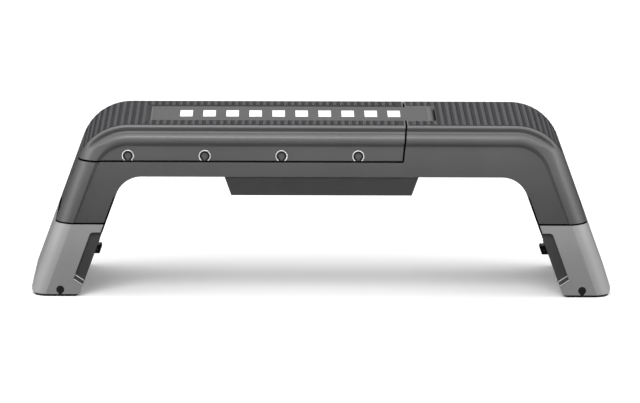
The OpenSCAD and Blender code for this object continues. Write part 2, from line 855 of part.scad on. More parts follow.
// Outline of a foot seen from the front, with its toes rounded
module foot_outline() {
    polygon(concat([[leg_x(leg_in, foot_top), foot_top], [leg_x(curve_r, foot_top), foot_top]],
        arc(leg_x(curve_r - toe_r, toe_r), toe_r, toe_r, lean, -90, 8),
        arc(leg_x(leg_in + heel_r, heel_r), heel_r, heel_r, -90, lean - 180, 6)));
}

// Outline of the cut-out along a foot's inner edge, grown by g, its lower end raised
module notch_outline(g, raised) {
    off = leg_in + notch_w + g;
    top = notch_top + g;
    low = notch_low + raised - g;
    bend = notch_ledge + raised;
    polygon(concat([[leg_x(leg_in - 10, low), low - 2], [leg_x(leg_in - 10, top), top]],
        arc(leg_x(off - notch_r, top - notch_r), top - notch_r, notch_r, 90, lean, 5),
        [[leg_x(off, bend), bend], [leg_x(leg_in, low), low]]));
}

// Screw places on a foot's inner face: across the deck, and down the leg from the shaft
foot_screw_at = [for (y = [-1, 1], z = [39.32, 126.32]) [y * (half_w - 57), -joint_drop - z]];

// Lower leg of the right side, with the arms that turn on the foot shaft
module foot_shell() {
    color([0.62, 0.62, 0.64]) difference() {
        union() {
            difference() {
                intersection() {
                    across_deck(-foot_y, foot_y) foot_outline();
                    leg_prism(half_w, outer_off, corner_r);
                    translate([0, -half_w, sole_t]) cube([2 * curve_x, deck_w, deck_h]);
                }
                intersection() {
                    leg_prism(foot_in_y, outer_off - foot_wall, corner_r - foot_wall);
                    translate([0, -half_w, sole_t + foot_plate])
                        cube([2 * curve_x, deck_w, foot_top - sole_t - 2 * foot_plate]);
                }
                across_deck(-half_w, half_w) notch_outline(0, ledge_h);
                both_sides() across_deck(foot_y - ledge_d, half_w) notch_outline(0, 0);
            }
            both_sides() in_leg() across_deck(arm_y, arm_y + arm_t) {
                circle(r = eye_r);
                polygon([[-eye_r + 2, 0], [eye_r - 2, 0], [leg_t / 2, -arm_drop], [-eye_r + 2, -arm_drop]]);
            }
            for (p = foot_screw_at) in_leg() translate([-shaft_in + foot_wall + seat_gap, p[0], p[1]])
                rotate([0, 90, 0]) cylinder(h = leg_t - 2 * foot_wall, r = boss_r);
        }
        in_leg() rotate([90, 0, 0]) cylinder(h = deck_w, r = bush_r, center = true);
        for (p = foot_screw_at) in_leg() translate([-shaft_in, p[0], p[1]]) rotate([0, 90, 0])
            cylinder(h = 20, r = screw_r + run_gap);
    }
}

// Dark cover in a foot's open inner side
module foot_cover() {
    side_y = foot_in_y - seat_gap;
    flange_t = 3;
    low = sole_t + foot_plate + seat_gap;
    color([0.3, 0.3, 0.31]) difference() {
        union() {
            intersection() {
                in_leg() translate([-shaft_in, -side_y, -leg_reach])
                    cube([foot_wall, 2 * side_y, 2 * leg_reach]);
                across_deck(-side_y, side_y) foot_outline();
                translate([0, -half_w, low])
                    cube([2 * curve_x, deck_w, foot_top - foot_plate - seat_gap - low]);
            }
            both_sides() across_deck(side_y - flange_t, side_y) intersection() {
                notch_outline(5, ledge_h);
                foot_outline();
            }
            in_leg() translate([-shaft_in + over, -tab_w / 4, spring_seat - flange_t])
                cube([spring_r * 2 + 6, tab_w / 2, flange_t]);
        }
        in_leg() {
            translate([-shaft_in - over, -tab_w / 2 - seat_gap, -tab_drop - tab_len / 2 - tab_travel - seat_gap])
                cube([foot_wall + 2 * over, tab_w + 2 * seat_gap, tab_len + tab_travel + 2 * seat_gap]);
            for (p = foot_screw_at) translate([-shaft_in - over, p[0], p[1]]) rotate([0, 90, 0])
                cylinder(h = foot_wall + 2 * over, r = screw_r + run_gap);
        }
    }
}

// Rubber sole of a foot
module foot_sole() {
    color([0.1, 0.1, 0.1]) intersection() {
        across_deck(-foot_y, foot_y) foot_outline();
        leg_prism(half_w, outer_off, corner_r);
        translate([0, -half_w, 0]) cube([2 * curve_x, deck_w, sole_t]);
    }
}

// Flanged plastic bushes in the arms of a foot
module foot_bushes() {
    color([0.85, 0.85, 0.83]) both_sides() in_leg() translate([0, arm_y, 0]) rotate([-90, 0, 0])
        difference() {
            union() {
                cylinder(h = arm_t, r = bush_r);
                translate([0, 0, arm_t]) cylinder(h = bush_flange, r = bush_r + 3);
            }
            translate([0, 0, -over]) cylinder(h = arm_t + 3 * over + bush_flange, r = shaft_r + run_gap);
        }
}

// Screws of a foot's cover
module foot_screws() {
    color([0.6, 0.6, 0.62]) for (p = foot_screw_at) in_leg()
        translate([-shaft_in, p[0], p[1]]) rotate([0, -90, 0]) screw(16);
}

// Sprung catch on a foot's inner face
module lock_tab() {
    half = tab_len / 2;
    color([0.07, 0.07, 0.07]) in_leg() translate([0, 0, -tab_drop]) difference() {
        union() {
            across_deck(-tab_w / 2, tab_w / 2)
                polygon([[-shaft_in + foot_wall + seat_gap + 1, -half], [-shaft_in, -half],
                    [-shaft_in - tab_reach, -half + tab_reach * tan(lean)],
                    [-shaft_in - tab_reach, half - 1], [-shaft_in - tab_hook_p - 1, half + tab_hook],
                    [-shaft_in - tab_hook_p, half + tab_hook], [-shaft_in - tab_hook_p, half],
                    [-shaft_in + foot_wall + seat_gap + 1, half]]);
            translate([-shaft_in + foot_wall + seat_gap, -tab_w / 2 - 4, -half - 2])
                cube([4, tab_w + 8, tab_len + 4]);
            translate([-shaft_in + foot_wall + seat_gap, -tab_w / 4, -half - 2])
                cube([spring_r * 2 + 2, tab_w / 2, 4]);
        }
        translate([-shaft_in - tab_hook_p + 1, 0, 0]) rotate([90, 0, 0])
            cylinder(h = deck_w, r = 2.6, center = true);
    }
}

// Points of one ring of the spring's wire, at turn fraction t
function spring_ring(t) = let (a = 360 * spring_turns * t, mid = spring_r - spring_wire)
    [for (k = [0:5]) let (b = 60 * k)
        [(mid + spring_wire * cos(b)) * cos(a), (mid + spring_wire * cos(b)) * sin(a),
            spring_wire + t * (spring_len - 2 * spring_wire) + spring_wire * sin(b)]];

// Coil spring of the catch
module lock_spring() {
    rings = 10 * spring_turns;
    points = [for (i = [0:rings]) each spring_ring(i / rings)];
    sides = [for (i = [0:rings - 1], k = [0:5]) let (n = (k + 1) % 6)
        each [[6 * i + k, 6 * i + 6 + k, 6 * i + 6 + n], [6 * i + k, 6 * i + 6 + n, 6 * i + n]]];
    ends = [[for (k = [0:5]) k], [for (k = [5:-1:0]) 6 * rings + k]];
    color([0.7, 0.7, 0.72]) in_leg()
        translate([-shaft_in + foot_wall + 1 + spring_r, 0, spring_seat + 0.1])
            polyhedron(points = points, faces = concat(sides, ends));
}

module foot_shell_left() {
    mirror([1, 0, 0]) foot_shell();
}

module foot_shell_right() {
    foot_shell();
}

module foot_cover_left() {
    mirror([1, 0, 0]) foot_cover();
}

module foot_cover_right() {
    foot_cover();
}

module foot_sole_left() {
    mirror([1, 0, 0]) foot_sole();
}

module foot_sole_right() {
    foot_sole();
}

module foot_bushes_left() {
    mirror([1, 0, 0]) foot_bushes();
}

module foot_bushes_right() {
    foot_bushes();
}

module foot_screws_left() {
    mirror([1, 0, 0]) foot_screws();
}

module foot_screws_right() {
    foot_screws();
}

module lock_tab_left() {
    mirror([1, 0, 0]) lock_tab();
}

module lock_tab_right() {
    lock_tab();
}

module lock_spring_left() {
    mirror([1, 0, 0]) lock_spring();
}

module lock_spring_right() {
    lock_spring();
}

base_shell();
seat_mat();
storage_tub();
tub_screws();
support_rack_front();
support_rack_rear();
hinge_rod();
lid_buffers();
foot_shaft_left();
foot_shaft_right();
backrest_shell();
backrest_mat();
centre_panel();
backrest_cover();
cover_screws();
stiffener_tubes();
prop_brackets();
prop_pins();
prop_frame();
prop_sleeve();
foot_shell_left();
foot_cover_left();
foot_sole_left();
foot_bushes_left();
foot_screws_left();
lock_tab_left();
lock_spring_left();
foot_shell_right();
foot_cover_right();
foot_sole_right();
foot_bushes_right();
foot_screws_right();
lock_tab_right();
lock_spring_right();
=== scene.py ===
"""Looks of a folding workout deck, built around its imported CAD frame."""
import json
import math

import bmesh
import bpy
from bpy.props import FloatProperty, FloatVectorProperty, IntProperty, PointerProperty
from mathutils import Matrix, Vector

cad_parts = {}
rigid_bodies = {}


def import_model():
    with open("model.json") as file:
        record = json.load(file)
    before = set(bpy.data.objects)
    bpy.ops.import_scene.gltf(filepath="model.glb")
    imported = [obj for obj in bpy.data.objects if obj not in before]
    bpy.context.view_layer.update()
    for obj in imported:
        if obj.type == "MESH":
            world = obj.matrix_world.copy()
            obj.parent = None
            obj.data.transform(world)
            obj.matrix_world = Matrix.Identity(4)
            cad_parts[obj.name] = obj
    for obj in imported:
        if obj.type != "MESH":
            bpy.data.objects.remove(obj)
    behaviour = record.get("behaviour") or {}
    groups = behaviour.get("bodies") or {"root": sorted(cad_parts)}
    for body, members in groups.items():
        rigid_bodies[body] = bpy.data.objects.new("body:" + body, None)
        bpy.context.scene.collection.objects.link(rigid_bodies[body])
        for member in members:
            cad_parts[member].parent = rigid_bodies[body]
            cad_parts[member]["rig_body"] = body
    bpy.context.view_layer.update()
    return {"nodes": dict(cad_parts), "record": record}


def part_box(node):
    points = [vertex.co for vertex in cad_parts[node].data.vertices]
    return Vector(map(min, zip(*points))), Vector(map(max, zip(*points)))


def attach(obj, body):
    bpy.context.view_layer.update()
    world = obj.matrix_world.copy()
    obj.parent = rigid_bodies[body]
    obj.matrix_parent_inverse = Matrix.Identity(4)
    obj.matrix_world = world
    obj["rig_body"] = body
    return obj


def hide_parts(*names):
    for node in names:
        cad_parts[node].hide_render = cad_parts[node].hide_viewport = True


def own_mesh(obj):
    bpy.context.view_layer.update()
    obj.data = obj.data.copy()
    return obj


bl_info = {
    "name": "Workout deck",
    "version": (1, 0, 0),
    "blender": (4, 5, 0),
    "location": "3D View > Sidebar > Deck",
    "description": "Builds the shells, rubber treads, printed panel and stage of a workout deck",
    "category": "Object",
}

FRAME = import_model()
NODES = FRAME["nodes"]
SLOTS = {row["node"]: row["material_slot"] for row in FRAME["record"]["subparts"]}
MM = 0.001

# The end curves, the legs and the lid's seams, placed as in the CAD source
TOP_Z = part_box("base_shell")[1].z
CURVE_X = 398 * MM
CURVE_R = 110.6 * MM
CURVE_Z = TOP_Z - CURVE_R
LEAN = math.radians(20)
LEG_IN = 12.6 * MM
JOINT_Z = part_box("base_shell")[0].z
SPLIT_X = 174 * MM
SPLIT_LEAN = 0.09
SEAM_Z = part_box("backrest_shell")[0].z - 0.75 * MM

# The face of the rail's hollow, and how deep its bottom lies under the top
WALL_Y = 166 * MM
HOLLOW_IN = 9 * MM

# The lid's keyholes, and how far a keyhole's mouth flares
KEYHOLES = 4
KEYHOLE_FIRST = -399 * MM
KEYHOLE_PITCH = 158 * MM
KEYHOLE_X = [KEYHOLE_FIRST + i * KEYHOLE_PITCH for i in range(KEYHOLES)]
KEYHOLE_R = 8.9 * MM
KEYHOLE_Z = SEAM_Z + 11.5 * MM
FLARE = 0.4 * MM

# The feet's keyholes: their place across the leg, as leg_x takes it, their height and their size
FOOT_HOLE_OFF = LEG_IN + 40.8 * MM
FOOT_HOLE_Z = 14 * MM
FOOT_HOLE_R = 8.2 * MM
FOOT_HOLE_NECK = 7 * MM
FOOT_HOLE_DROP = 13.4 * MM

# The ledge of a foot's cut-out: the place across the leg and the height of each end of its lower
# edge, and how much higher and how far from the deck's middle its upper and its lower edge lie
LEDGE_ENDS = ((LEG_IN + 22.4 * MM, 36 * MM), (LEG_IN + 1.2 * MM, 24 * MM))
LEDGE_EDGES = ((8.6 * MM, 170 * MM), (0.0, 172 * MM))

# The treads: their side, their reach along the top and round an end, and their round corners
TREAD_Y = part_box("seat_mat")[1].y
TREAD_REACH = CURVE_X + CURVE_R * math.acos((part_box("seat_mat")[0].z - CURVE_Z) / CURVE_R)
TREAD_CORNER = 48 * MM

# The smooth bed of the centre panel, which has no ridges
BED_X = (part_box("centre_panel")[0].x - 5 * MM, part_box("centre_panel")[1].x + 13 * MM)
BED_Y = 90 * MM

# The shells' visible pieces, each shown by a smooth copy
SHELLS = ("base_shell", "backrest_shell", "storage_tub", "backrest_cover", "seat_mat",
          "backrest_mat", "foot_shell_left", "foot_shell_right", "foot_cover_left",
          "foot_cover_right", "foot_sole_left", "foot_sole_right", "lock_tab_left",
          "lock_tab_right")

# Each lamp's place, size, power and the height that it is aimed at; the front one is a strip
LAMPS = {
    "key": ((-0.6, -2.8, 4.3), 2.0, 115, 0.25),
    "front": ((0.0, -3.0, 0.9), 5.0, 14, 0.54),
    "left": ((-4.0, -0.4, 1.6), 1.8, 45, 0.25),
    "right": ((4.0, -0.4, 1.6), 1.8, 45, 0.25),
}
STRIP_H = 0.3
STRIP_SPREAD = math.radians(18)
FLOOR_REACH = 40.0

# The places of a colour mix's inputs and of its output among the node's sockets
MIX_SHARE, MIX_FROM, MIX_TO, MIX_RESULT = 0, 6, 7, 2
# The range that most values of a noise lie in
NOISE_SPAN = (0.3, 0.7)
# Near-black of the painted shadow in the lid's seams, between legs and feet and along the legs'
# inner edges
PAINTED_SHADOW_BLACK = (0.002, 0.002, 0.002, 1)


def length(name, description, default):
    """A size in metres that a user can change."""
    return FloatProperty(name=name, description=description, default=default, unit="LENGTH",
                         subtype="DISTANCE", min=0.0, precision=5)


def colour(name, description, default):
    """A surface colour that a user can change."""
    return FloatVectorProperty(name=name, description=description, default=default,
                               subtype="COLOR", size=3, min=0.0, max=1.0)


class DeckSizes(bpy.types.PropertyGroup):
    """Sizes of the details that are dressed onto the deck."""
    column_w: length("Column width", "Width of one column of tread ridges", 0.00735)
    ridge_pitch: length("Ridge pitch", "Distance between ridges along a column", 0.0042)
    ridge_w: length("Ridge width", "Width of a ridge at its foot", 0.0024)
    ridge_h: length("Ridge height", "Height of a ridge over the tread", 0.0009)
    tread_edge: length("Tread edge", "Plain band along the edges of a tread", 0.004)
    print_t: length("Print thickness", "Thickness of the white print", 0.0002)
    block_w: length("Block width", "Width of a white block along the panel", 0.026)
    block_gap: length("Block gap", "Gap between two white blocks", 0.022)
    blocks: IntProperty(name="Blocks", description="Number of white blocks on the panel",
                        default=10, min=1, max=20)
    # The black liner is a ring of painted shadow just inside each lid keyhole's mouth
    shadow_ring_w: length("Liner width", "How far the black liner narrows a lid keyhole", 0.0023)
    # The pale beads are painted highlights round the lid's keyholes and along the feet's ledges
    bead_r: length("Bead radius", "Radius of the pale beads at keyholes and ledges", 0.0009)
    # Thickness of the painted shadow rings
    shadow_ring_t: length("Liner thickness", "How far the liner stands out", 0.0002)
    crease: FloatProperty(name="Crease", description="Steepest edge that is shaded smooth",
                          default=math.radians(32), subtype="ANGLE")


class DeckColours(bpy.types.PropertyGroup):
    """Colours of the deck's finishes."""
    shell: colour("Shell", "Dark grey moulding", (0.082, 0.08, 0.082))
    tub: colour("Tub", "Darker moulding of the tub", (0.084, 0.082, 0.084))
    tread: colour("Tread", "Rubber tread", (0.016, 0.016, 0.017))
    panel: colour("Panel", "Smooth centre panel", (0.05, 0.05, 0.052))
    print_white: colour("Print", "White print", (0.9, 0.9, 0.9))
    foot: colour("Foot", "Light grey lower legs", (0.35, 0.35, 0.355))
    cover: colour("Cover", "Dark cover in the feet", (0.066, 0.066, 0.069))
    # The black also paints shadow: the rings in the lid's keyholes and the plugs in the feet's
    # keyholes
    rubber: colour("Sole", "Black soles and liners", (0.006, 0.006, 0.006))
    steel: colour("Steel", "Plated steel", (0.62, 0.62, 0.64))
    paint: colour("Painted steel", "Powder-coated steel", (0.05, 0.05, 0.053))
    bush: colour("Bush", "Pale bearing plastic", (0.62, 0.61, 0.58))


class DeckStage(bpy.types.PropertyGroup):
    """Camera of the studio."""
    distance: length("Camera distance", "Distance from the camera to the deck", 11.1)
    elevation: FloatProperty(name="Elevation", description="Height of the camera as an angle",
                             default=math.radians(10.5), subtype="ANGLE")
    azimuth: FloatProperty(name="Azimuth", description="Turn of the camera about the deck",
                           default=math.radians(-0.5), subtype="ANGLE")
    roll: FloatProperty(name="Roll", description="Roll of the camera",
                        default=math.radians(0.25), subtype="ANGLE")
    lens: FloatProperty(name="Lens", description="Focal length in millimetres", default=298.5)
    aim_x: FloatProperty(name="Aim X", description="Point aimed at, along the deck", default=-0.002)
    aim_z: FloatProperty(name="Aim Z", description="Height of the point aimed at", default=0.1683)


def new_material(name):
    """A new material, its node tree and its shader."""
    material = bpy.data.materials.new(name)
    material.use_nodes = True
    return material, material.node_tree, material.node_tree.nodes["Principled BSDF"]


def add(tree, kind, **settings):
    """Adds a node with its settings; in an input's name, underscores stand for spaces."""
    node = tree.nodes.new(kind)
    for key, value in settings.items():
        if hasattr(node, key):
            setattr(node, key, value)
        else:
            node.inputs[key.replace("_", " ")].default_value = value
    return node


def feed(tree, sockets, values):
    """Gives inputs their values in order, each a plain value or another node's output."""
    for socket, value in zip(sockets, values):
        if isinstance(value, bpy.types.NodeSocket):
            tree.links.new(value, socket)
        else:
            socket.default_value = value


def reckon(tree, operation, *values):
    """Result of a calculation with numbers."""
    node = add(tree, "ShaderNodeMath", operation=operation)
    feed(tree, node.inputs, values)
    return node.outputs["Value"]


def vector(tree, operation, *values, result="Vector"):
    """Result of a calculation with vectors."""
    node = add(tree, "ShaderNodeVectorMath", operation=operation)
    feed(tree, node.inputs, values)
    return node.outputs[result]


def map_range(tree, value, given, wanted, **settings):
    """Carries a value over from one range to another."""
    node = add(tree, "ShaderNodeMapRange", **settings)
    names = ("Value", "From Min", "From Max", "To Min", "To Max")
    feed(tree, [node.inputs[name] for name in names], (value, *given, *wanted))
    return node.outputs["Result"]


def fade(tree, distance, start, end):
    """Runs from 1 to 0 while a distance goes from start to end.

    It fades on both sides of the place, or on one side only where start is negative.
    """
    if start >= 0:
        distance = reckon(tree, "ABSOLUTE", distance)
    return map_range(tree, distance, (start, end), (1.0, 0.0), interpolation_type="SMOOTHSTEP")


def field(tree, where, normal, offset, start, end):
    """Fades with the distance from a plane that lies square to a direction."""
    along = vector(tree, "DOT_PRODUCT", where, normal, result="Value")
    return fade(tree, reckon(tree, "SUBTRACT", along, offset), start, end)


def combined(tree, operation, values):
    """Product or maximum of several outputs."""
    result = values[0]
    for value in values[1:]:
        result = reckon(tree, operation, result, value)
    return result


def hollow_shade(tree, where, mirrored):
    """Dims the bottom of the hollow under the lip's edge, round the end curves too.

    It ends at the sides, where the top begins, and down the legs.
    """
    share = 0.55
    past = vector(tree, "SUBTRACT", mirrored, (CURVE_X, 0, CURVE_Z))
    ahead = vector(tree, "MAXIMUM", past, (0, 0, 0))
    flat = vector(tree, "MULTIPLY", ahead, (1, 0, 1))
    reach = vector(tree, "LENGTH", flat, result="Value")
    bottom = reckon(tree, "SUBTRACT", reach, CURVE_R - HOLLOW_IN)
    ring = fade(tree, bottom, 1.5 * MM, 6.5 * MM)
    high = field(tree, where, (0, 0, 1), TOP_Z, 20 * MM, 60 * MM)
    side = field(tree, mirrored, (0, 1, 0), WALL_Y, 9 * MM, 12 * MM)
    return reckon(tree, "MULTIPLY", combined(tree, "MULTIPLY", [ring, high, side]), share)


def joint_shade(tree, where, width):
    """1 where shadow is painted: in the gaps round the lid, between legs and feet under the legs'
    overhang, and along the legs' inner edges.

    The painted shade of the hollow under the lip is added to them.
    """
    soft = 0.5 * MM
    up = (0, 0, 1)
    mirrored = vector(tree, "ABSOLUTE", where)
    end = (1, 0, -SPLIT_LEAN)
    end_at = SPLIT_X - SPLIT_LEAN * TOP_Z
    # Painted shadow in the gap round the lid: along its seam and in the cut at its end
    seam = combined(tree, "MULTIPLY", [
        field(tree, where, up, SEAM_Z, width, width + soft),
        field(tree, where, end, end_at, -soft, width)])
    cut = combined(tree, "MULTIPLY", [
        field(tree, where, end, end_at, width, width + soft),
        field(tree, where, (0, 0, -1), -SEAM_Z, -soft, width)])
    # Painted shadow under the legs' overhang onto the feet
    foot = field(tree, where, up, JOINT_Z, width, width + soft)
    # Painted shadow along the legs' inner edges, down towards the feet
    across = Vector((math.cos(LEAN), 0, math.sin(LEAN)))
    inner_at = CURVE_X * across.x + CURVE_Z * across.z + LEG_IN
    middle_z = 150 * MM
    edge = combined(tree, "MULTIPLY", [
        field(tree, mirrored, across, inner_at, 3.2 * MM, 4.2 * MM),
        field(tree, where, up, middle_z, 52 * MM, 66 * MM)])
    return combined(tree, "MAXIMUM", [seam, cut, foot, edge, hollow_shade(tree, where, mirrored)])


def noise(tree, where, scale, detail, roughness):
    """Noise with a scale per metre, in the piece's own space."""
    node = add(tree, "ShaderNodeTexNoise", Scale=scale, Detail=detail, Roughness=roughness)
    tree.links.new(where, node.inputs["Vector"])
    return node.outputs["Fac"]


def tones(tree, value, tone, shares, places):
    """Colour that goes from one share of a tone to another with a value."""
    node = add(tree, "ShaderNodeValToRGB")
    for stop, share, place in zip(node.color_ramp.elements, shares, places):
        stop.position = place
        stop.color = (*[min(1, c * share) for c in tone], 1)
    tree.links.new(value, node.inputs["Fac"])
    return node.outputs["Color"]


def mixed(tree, share, paint, other):
    """One colour where the share is 0, and the other where it is 1."""
    node = add(tree, "ShaderNodeMix", data_type="RGBA")
    feed(tree, [node.inputs[i] for i in (MIX_SHARE, MIX_FROM, MIX_TO)], (share, paint, other))
    return node.outputs[MIX_RESULT]


def wire(tree, shader, paint, rough, height, strength, depth):
    """Joins a shader to its colour, its roughness and a bump whose height is a texture."""
    bump = add(tree, "ShaderNodeBump", Strength=strength, Distance=depth)
    tree.links.new(height, bump.inputs["Height"])
    feed(tree, [shader.inputs[name] for name in ("Base Color", "Roughness", "Normal")],
         (paint, rough, bump.outputs["Normal"]))


def plastic(name, tone, rough, grain, depth, mottle, joints=0.0, painted_light=0.0, shine=0.5):
    """Moulded plastic: fine spark-eroded grain, uneven sheen and a faint mottle of the colour.

    joints is the width of its painted shadow lines in the gaps, where its gloss is taken away
    too. painted_light is how many times lighter its colour is painted, as painted light, where the
    mesh's attribute tone is 1.
    """
    material, tree, shader = new_material(name)
    where = add(tree, "ShaderNodeTexCoord").outputs["Object"]
    fine = noise(tree, where, grain, 3.0, 0.6)
    cloud = noise(tree, where, 14.0, 4.0, 0.55)
    scuff = noise(tree, where, 120.0, 5.0, 0.7)
    paint = tones(tree, cloud, tone, (1 - mottle, 1 + mottle), NOISE_SPAN)
    gloss = shine
    # Painted shadow: near black, with the gloss taken away as well
    if joints:
        shade_mask = joint_shade(tree, where, joints)
        paint = mixed(tree, shade_mask, paint, PAINTED_SHADOW_BLACK)
        gloss = map_range(tree, shade_mask, (0.0, 1.0), (shine, 0.0))
    # Painted light: lighter where the mesh's tone attribute is 1, on every other tread column and
    # on the pale beads
    if painted_light:
        lit_mask = add(tree, "ShaderNodeAttribute", attribute_name="tone").outputs["Fac"]
        paint = mixed(tree, lit_mask, paint, (*[c * painted_light for c in tone], 1))
    feed(tree, [shader.inputs["Specular IOR Level"]], [gloss])
    sheen = map_range(tree, scuff, NOISE_SPAN, (rough - 0.05, rough + 0.06))
    wire(tree, shader, paint, sheen, fine, 0.6, depth)
    return material


def metal(name, tone, rough):
    """Plated steel with fine streaks in its gloss."""
    material, tree, shader = new_material(name)
    where = add(tree, "ShaderNodeTexCoord").outputs["Object"]
    streak = noise(tree, where, 300.0, 4.0, 0.6)
    paint = tones(tree, streak, tone, (0.82, 1.1), (0.0, 1.0))
    gloss = map_range(tree, streak, (0.0, 1.0), (rough - 0.08, rough + 0.1))
    wire(tree, shader, paint, gloss, streak, 0.3, 0.02 * MM)
    shader.inputs["Metallic"].default_value = 1.0
    return material


# How each slot of the record is made, with its colour's name in DeckColours as the tone
SURFACES = {
    # The width given to the shells and feet is that of their painted shadow lines
    "shell_plastic": (plastic, dict(tone="shell", rough=0.38, grain=700, depth=0.06 * MM,
                                    mottle=0.05, joints=1.7 * MM)),
    "tub_plastic": (plastic, dict(tone="tub", rough=0.5, grain=700, depth=0.06 * MM, mottle=0.07)),
    # Every other column of ridges is painted lighter, as painted light
    "tread_rubber": (plastic, dict(tone="tread", rough=0.62, grain=500, depth=0.1 * MM,
                                   mottle=0.1, painted_light=3.2, shine=0.22)),
    "panel_plastic": (plastic, dict(tone="panel", rough=0.5, grain=900, depth=0.04 * MM,
                                    mottle=0.04)),
    "white_print": (plastic, dict(tone="print_white", rough=0.5, grain=900, depth=0.01 * MM,
                                  mottle=0.02)),
    # The feet's plastic is painted lighter on the pale beads, as painted highlight
    "foot_plastic": (plastic, dict(tone="foot", rough=0.38, grain=700, depth=0.05 * MM,
                                   mottle=0.04, joints=1.2 * MM, painted_light=2.0)),
    "cover_plastic": (plastic, dict(tone="cover", rough=0.45, grain=700, depth=0.06 * MM,
                                    mottle=0.08)),
    "sole_rubber": (plastic, dict(tone="rubber", rough=0.7, grain=500, depth=0.1 * MM,
                                  mottle=0.15)),
    "catch_plastic": (plastic, dict(tone="rubber", rough=0.3, grain=900, depth=0.02 * MM,
                                    mottle=0.1)),
    "bush_plastic": (plastic, dict(tone="bush", rough=0.35, grain=900, depth=0.02 * MM,
                                   mottle=0.04)),
    "bright_steel": (metal, dict(tone="steel", rough=0.28)),
    "painted_steel": (plastic, dict(tone="paint", rough=0.4, grain=1200, depth=0.05 * MM,
                                    mottle=0.1)),
}
FINISHES = {}


def finish(name):
    """The finished material of one of the record's slots, made once."""
    if name not in FINISHES:
        make, settings = SURFACES[name]
        tone = getattr(bpy.context.scene.deck_colours, settings["tone"])
        FINISHES[name] = make(name, **{**settings, "tone": tone})
    return FINISHES[name]


def link(mesh, name, body, slot_name, stands_for=()):
    """Puts a finished mesh into the scene and joins it to its body and slot."""
    mesh.name = name
    obj = bpy.data.objects.new(name, mesh)
    bpy.context.scene.collection.objects.link(obj)
    mesh.materials.clear()
    mesh.materials.append(finish(slot_name))
    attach(obj, body)
    if stands_for:
        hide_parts(*stands_for)
    return obj


def settle(obj):
    """Turns an object and its modifiers into a plain mesh and removes the object."""
    graph = bpy.context.evaluated_depsgraph_get()
    graph.update()
    mesh = bpy.data.meshes.new_from_object(obj.evaluated_get(graph))
    bpy.data.objects.remove(obj)
    return mesh


def smoothed(mesh):
    """Merged copy of a mesh whose flat faces stay flat and whose curves are shaded smooth."""
    crease = bpy.context.scene.deck_sizes.crease
    work = bmesh.new()
    work.from_mesh(mesh)
    bmesh.ops.remove_doubles(work, verts=work.verts, dist=0.002 * MM)
    for edge in work.edges:
        edge.smooth = edge.is_manifold and edge.calc_face_angle(math.pi) < crease
    for face in work.faces:
        face.smooth = True
    copy = bpy.data.meshes.new("copy")
    work.to_mesh(copy)
    work.free()
    holder = bpy.data.objects.new("holder", copy)
    bpy.context.scene.collection.objects.link(holder)
    weighted = holder.modifiers.new("weighted", "WEIGHTED_NORMAL")
    weighted.keep_sharp = True
    weighted.weight = 100
    return settle(holder)


class DECK_OT_shells(bpy.types.Operator):
    """Shade the moulded shells smooth and give each its plastic"""
    bl_idname = "deck.shells"
    bl_label = "Shells"

    def execute(self, context):
        for node in SHELLS:
            body = NODES[node]["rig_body"]
            link(smoothed(NODES[node].data), node + "_dressed", body, SLOTS[node], [node])
        return {"FINISHED"}


class DECK_OT_hardware(bpy.types.Operator):
    """Give each CAD piece its slot's finish, for the hardware that shows as modelled"""
    bl_idname = "deck.hardware"
    bl_label = "Hardware"

    def execute(self, context):
        for node, obj in NODES.items():
            obj.data.materials.clear()
            obj.data.materials.append(finish(SLOTS[node]))
            for face in obj.data.polygons:
                face.material_index = 0
        return {"FINISHED"}


def leg_x(off, z):
    """Place along the deck of a line that runs down the leg at an offset, at height z."""
    return CURVE_X + (off - (z - CURVE_Z) * math.sin(LEAN)) / math.cos(LEAN)


def tread_point(s, y, lift=0.0):
    """Place and turn of a point of the top surface: s runs along the deck and round its ends."""
    bend = (abs(s) - CURVE_X) / CURVE_R
    side = 1 if s >= 0 else -1
    if bend <= 0:
        return Vector((s, y, TOP_Z + lift)), 0.0
    r = CURVE_R + lift
    return Vector((side * (CURVE_X + r * math.sin(bend)), y,
                   CURVE_Z + r * math.cos(bend))), side * bend


